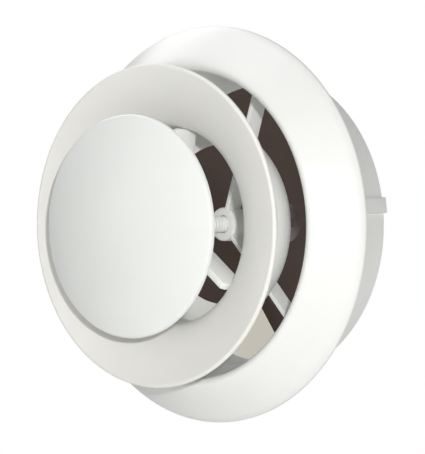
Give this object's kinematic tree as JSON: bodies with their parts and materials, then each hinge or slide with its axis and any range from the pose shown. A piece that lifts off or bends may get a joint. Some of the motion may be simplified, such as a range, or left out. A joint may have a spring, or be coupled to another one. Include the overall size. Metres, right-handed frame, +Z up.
{
  "type": "ceiling air diffuser",
  "caption": "Round ceiling air valve: a domed disc on a screw spindle, a flared middle ring and a bell flange that twist-locks into a mounting collar.",
  "frame": {"origin": "centre of the ceiling plane: on the valve axis, in the plane of the mounting ring's rear flange face", "axes": "+Y along the valve axis into the duct, so -Y faces the room and points down when the valve hangs from a ceiling; +Z up and +X right as the valve is seen from the room on a wall"},
  "size_m": [0.19, 0.1249, 0.19],
  "materials": {
    "white_plastic": "satin moulded white plastic",
    "natural_nylon": "natural nylon, satin",
    "dark_plastic": "dark brown-black moulded plastic",
    "foam": "closed-cell foam, matt",
    "seal_rubber": "soft black rubber",
    "brass": "turned brass",
    "zinc_steel": "zinc-plated steel"
  },
  "bodies": {
    "mounting": {"mounting_ring": "white_plastic"},
    "valve": {"valve_body": "white_plastic", "foam_gasket": "foam", "spigot_seal": "seal_rubber", "spider": "white_plastic", "thread_bush": "brass", "middle_ring": "white_plastic", "spindle_guide": "white_plastic", "guide_bush": "natural_nylon", "guide_sleeve": "dark_plastic", "sleeve_cap": "dark_plastic"},
    "stop": {"travel_stop": "natural_nylon"},
    "disc": {"disc_shell": "white_plastic", "disc_back": "white_plastic", "spindle": "white_plastic", "disc_washer": "zinc_steel", "disc_nut": "zinc_steel", "tail_washer": "zinc_steel", "tail_clip": "zinc_steel"}
  },
  "joints": [
    {"name": "twist_lock", "type": "hinge", "parent": "mounting", "child": "valve", "pos_m": [0, 0, 0], "axis": [0, 1, 0], "range_deg": [-16, 0]},
    {"name": "disc_travel", "type": "slide", "parent": "valve", "child": "stop", "axis": [0, 1, 0], "range_m": [-0.006, 0.02]},
    {"name": "disc_turn", "type": "hinge", "parent": "stop", "child": "disc", "pos_m": [0, 0, 0], "axis": [0, 1, 0], "range_deg": [-1080, 3600]}
  ],
  "couplings": [
    {"joint": "disc_travel", "follows": "disc_turn", "m_per_rad": 0.0003183}
  ]
}
